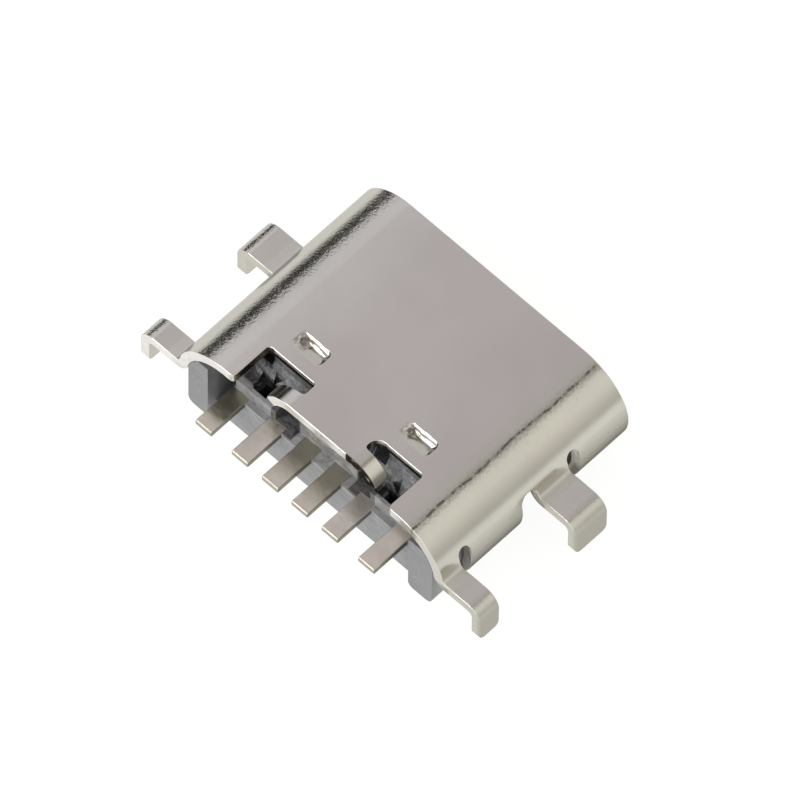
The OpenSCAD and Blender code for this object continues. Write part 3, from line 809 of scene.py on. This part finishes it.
# ---------------------------------------------------------------- floor and light
fl = bpy.data.meshes.new("floor")
z0 = -R * MM - 2e-6
fl.from_pydata([(-1.5, -1.5, z0), (1.5, -1.5, z0), (1.5, 1.5, z0), (-1.5, 1.5, z0)], [], [(0, 1, 2, 3)])
floor = bpy.data.objects.new("floor", fl)
scene.collection.objects.link(floor)
fmat, fnt, fbs = new_mat("floor_white")
fbs.inputs["Base Color"].default_value = (0.13, 0.13, 0.13, 1)
fbs.inputs["Roughness"].default_value = 0.9
fbs.inputs["Specular IOR Level"].default_value = 0.0
fbs.inputs["Emission Color"].default_value = (1.0, 1.0, 0.99, 1)
# a light table: even round the part, fading further out
fp = coords(fnt)
fd = node(fnt, "ShaderNodeVectorMath", operation="DISTANCE")
fd.inputs[1].default_value = (0.0, 3.2, -1.58)
fnt.links.new(fp, fd.inputs[0])
fnt.links.new(ramp(fnt, fd.outputs["Value"], 17.0, 0.93, 45.0, 0.58), fbs.inputs["Emission Strength"])
fl.materials.append(fmat)

world = bpy.data.worlds.new("studio")
scene.world = world
world.use_nodes = True
wnt = world.node_tree
wnt.nodes.clear()
wout = wnt.nodes.new("ShaderNodeOutputWorld")
wbg = wnt.nodes.new("ShaderNodeBackground")
wnt.links.new(wbg.outputs[0], wout.inputs[0])
wbg.inputs[1].default_value = 1.0
# a tent: brightness by the angle round the object's long axis, 0 overhead and positive toward +X
TENT = [(-180, (0.62, 0.60, 0.58)), (-94, (0.66, 0.645, 0.62)), (-86, (0.66, 0.645, 0.62)), (-66, (0.90, 0.865, 0.84)),
        (-52, (1.02, 1.0, 0.97)), (-33, (1.02, 1.0, 0.97)), (-26, (0.90, 0.88, 0.86)), (-21, (0.30, 0.29, 0.28)),
        (-17, (0.30, 0.29, 0.28)), (-12, (0.66, 0.64, 0.64)), (8, (0.68, 0.635, 0.70)), (22.5, (0.69, 0.64, 0.71)),
        (31, (0.89, 0.87, 0.96)), (56, (0.89, 0.87, 0.96)), (63, (0.62, 0.60, 0.64)), (67, (0.02, 0.02, 0.02)),
        (84, (0.02, 0.02, 0.02)), (92, (0.40, 0.39, 0.39)), (180, (0.62, 0.60, 0.58))]
wtc = wnt.nodes.new("ShaderNodeTexCoord")
wsep = wnt.nodes.new("ShaderNodeSeparateXYZ")
wnt.links.new(wtc.outputs["Generated"], wsep.inputs[0])
wat = wnt.nodes.new("ShaderNodeMath")
wat.operation = "ARCTAN2"
wnt.links.new(wsep.outputs[0], wat.inputs[0])
wnt.links.new(wsep.outputs[2], wat.inputs[1])
wmr = wnt.nodes.new("ShaderNodeMapRange")
wmr.inputs["From Min"].default_value = -math.pi
wmr.inputs["From Max"].default_value = math.pi
wnt.links.new(wat.outputs[0], wmr.inputs["Value"])
wcr = wnt.nodes.new("ShaderNodeValToRGB")
els = wcr.color_ramp.elements
while len(els) > 2:
    els.remove(els[-1])
els[0].position, els[1].position = 0.0, 1.0
els[0].color = (*TENT[0][1], 1)
els[1].color = (*TENT[-1][1], 1)
for ang, c in TENT[1:-1]:
    el = els.new((ang + 180) / 360)
    el.color = (*c, 1)
wnt.links.new(wmr.outputs[0], wcr.inputs[0])
# toward +Y and -Y the tent is plain
wy = wnt.nodes.new("ShaderNodeMapRange")
wy.inputs["From Min"].default_value = 0.62
wy.inputs["From Max"].default_value = 0.85
wnt.links.new(wsep.outputs[1], wy.inputs["Value"])
wmx = wnt.nodes.new("ShaderNodeMix")
wmx.data_type = "RGBA"
wnt.links.new(wy.outputs[0], wmx.inputs[0])
wnt.links.new(wcr.outputs[0], wmx.inputs[6])
wmx.inputs[7].default_value = (1.5, 1.5, 1.5, 1)
wn = wnt.nodes.new("ShaderNodeMapRange")
wn.inputs["From Min"].default_value = -0.62
wn.inputs["From Max"].default_value = -0.85
wnt.links.new(wsep.outputs[1], wn.inputs["Value"])
wm2 = wnt.nodes.new("ShaderNodeMix")
wm2.data_type = "RGBA"
wnt.links.new(wn.outputs[0], wm2.inputs[0])
wnt.links.new(wmx.outputs[2], wm2.inputs[6])
wm2.inputs[7].default_value = (0.75, 0.75, 0.75, 1)
wnt.links.new(wm2.outputs[2], wbg.inputs[0])


def area(name, loc, target, size, power, col=(1, 1, 1)):
    ld = bpy.data.lights.new(name, "AREA")
    ld.shape = "RECTANGLE"
    ld.size, ld.size_y = size
    ld.energy = power
    ld.color = col
    o = bpy.data.objects.new(name, ld)
    o.location = loc
    o.rotation_mode = "QUATERNION"
    o.rotation_quaternion = (Vector(target) - Vector(loc)).to_track_quat("-Z", "Y")
    scene.collection.objects.link(o)
    return o


# soft box behind and above the solder tails
area("back_box", (0.05, 0.17, 0.10), (0, 0.003, 0), (0.14, 0.07), 0.10)

scene.view_settings.view_transform = "Standard"
scene.view_settings.look = "None"
scene.view_settings.exposure = 0.0
